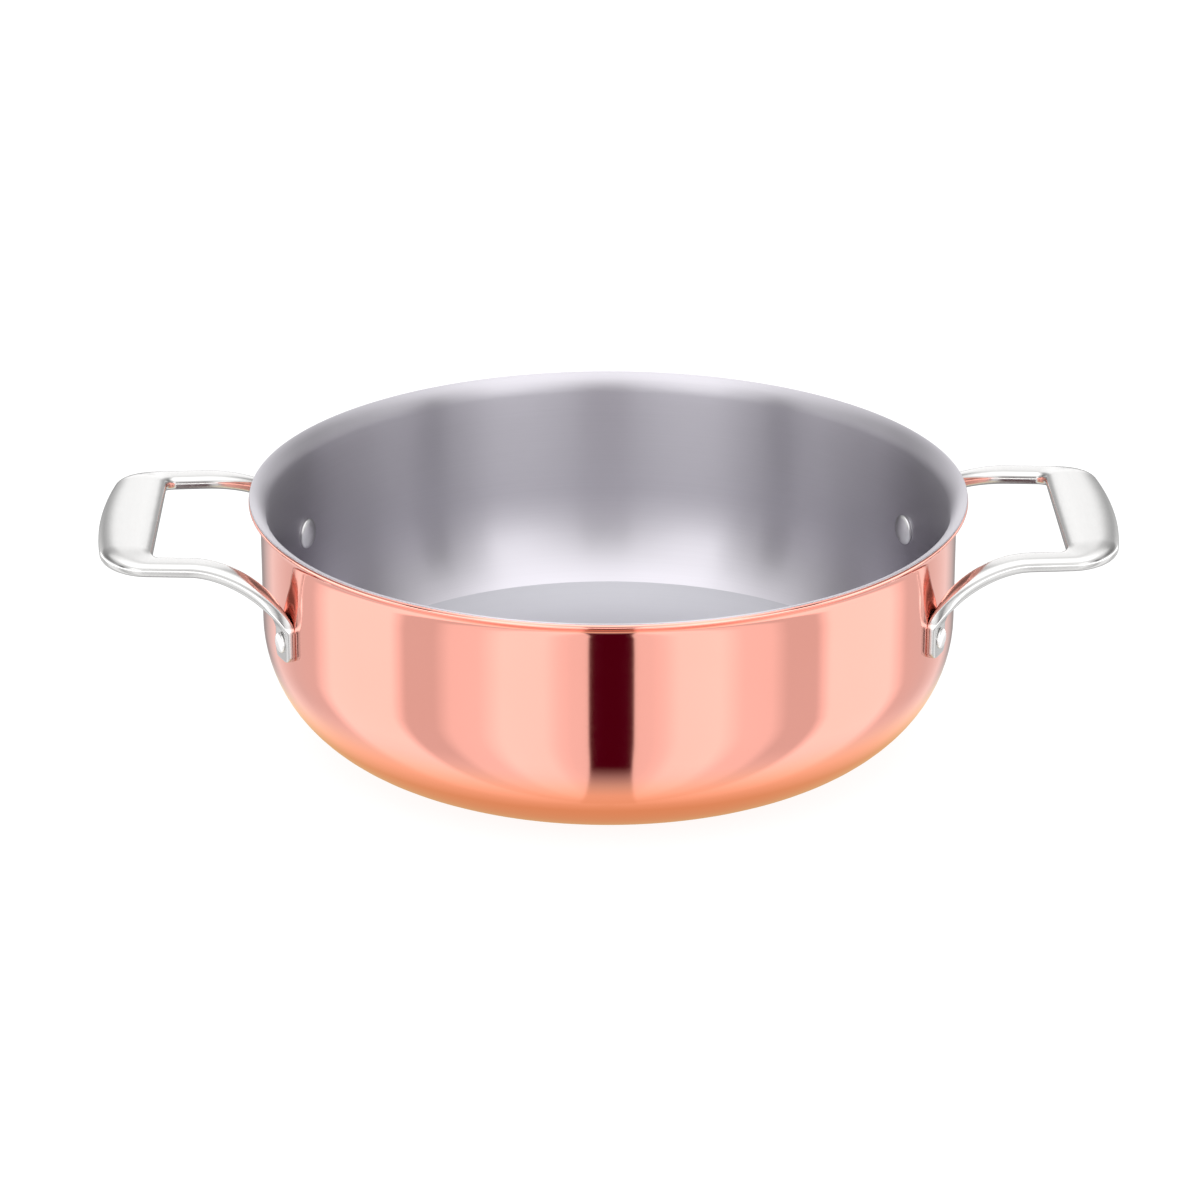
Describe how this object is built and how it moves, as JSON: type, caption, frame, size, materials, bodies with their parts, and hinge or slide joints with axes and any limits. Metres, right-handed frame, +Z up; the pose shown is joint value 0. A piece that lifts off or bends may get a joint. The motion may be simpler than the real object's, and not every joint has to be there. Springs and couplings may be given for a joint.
{
  "type": "casserole pot",
  "caption": "Low round copper casserole lined with satin stainless steel, with a flared pouring lip, a rounded base and cast steel loop handles riveted to its sides.",
  "frame": {"origin": "centre of the flat base, on the surface that the pot stands on", "axes": "+Z up through the mouth of the pot, +X from the left handle to the right handle, +Y to the rear"},
  "size_m": [0.396, 0.28, 0.0997],
  "materials": {
    "polished_copper": null,
    "satin_steel": "satin stainless steel, brushed round the pot",
    "polished_steel": "polished stainless steel"
  },
  "bodies": {
    "root": {"copper_shell": "polished_copper", "steel_lining": "satin_steel", "left_handle": "polished_steel", "right_handle": "polished_steel", "left_front_rivet": "polished_steel", "left_rear_rivet": "polished_steel", "right_front_rivet": "polished_steel", "right_rear_rivet": "polished_steel"}
  },
  "joints": []
}
